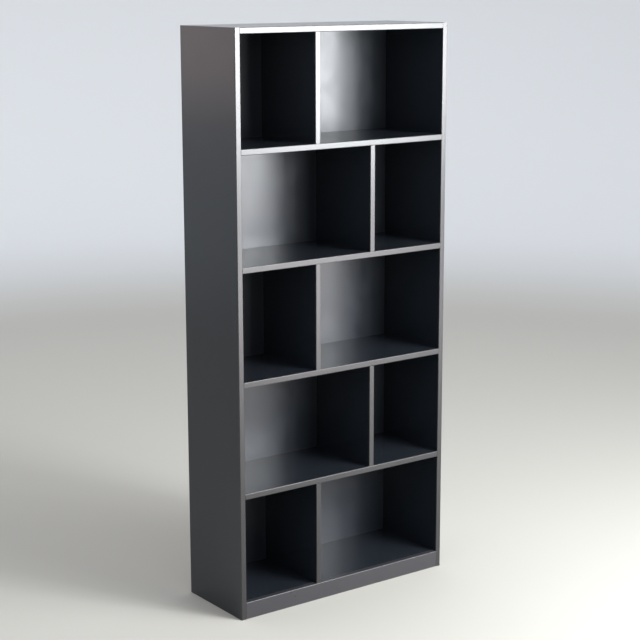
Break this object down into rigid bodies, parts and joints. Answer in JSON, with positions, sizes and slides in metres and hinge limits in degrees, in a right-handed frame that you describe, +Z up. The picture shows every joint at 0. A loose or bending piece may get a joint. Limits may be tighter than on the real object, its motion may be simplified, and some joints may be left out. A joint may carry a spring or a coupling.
{
  "type": "bookcase",
  "caption": "Tall open bookcase in dark satin board, with fixed shelves, dividers set alternately left and right, a plinth and a thin back.",
  "frame": {"origin": "on the floor, at the middle of the footprint", "axes": "+Z up, +Y to the rear, +X to the right as seen from the front"},
  "size_m": [0.8, 0.295, 1.8],
  "materials": {
    "board_laminate": "near-black satin laminate on chipboard",
    "edging": "near-black satin edging strip with a rounded front",
    "back_sheet": "thin hardboard, near-black satin in front, bare brown at the rear",
    "cam_zinc": "die-cast zinc alloy",
    "steel": "bright zinc-plated steel",
    "dowel_wood": "bare beech"
  },
  "bodies": {
    "root": {"left_side_panel": "board_laminate", "right_side_panel": "board_laminate", "top_panel": "board_laminate", "shelf_1": "board_laminate", "shelf_2": "board_laminate", "shelf_3": "board_laminate", "shelf_4": "board_laminate", "bottom_panel": "board_laminate", "divider_1": "board_laminate", "divider_2": "board_laminate", "divider_3": "board_laminate", "divider_4": "board_laminate", "divider_5": "board_laminate", "front_plinth_rail": "board_laminate", "rear_plinth_rail": "board_laminate", "left_side_front_edging": "edging", "right_side_front_edging": "edging", "left_side_top_edging": "edging", "right_side_top_edging": "edging", "top_front_edging": "edging", "shelf_1_front_edging": "edging", "shelf_2_front_edging": "edging", "shelf_3_front_edging": "edging", "shelf_4_front_edging": "edging", "divider_1_front_edging": "edging", "divider_2_front_edging": "edging", "divider_3_front_edging": "edging", "divider_4_front_edging": "edging", "divider_5_front_edging": "edging", "back_panel": "back_sheet", "cam_locks": "cam_zinc", "cam_bolts": "steel", "divider_screws": "steel", "back_panel_nails": "steel", "shelf_dowels": "dowel_wood", "divider_dowels": "dowel_wood", "plinth_dowels": "dowel_wood"}
  },
  "joints": []
}
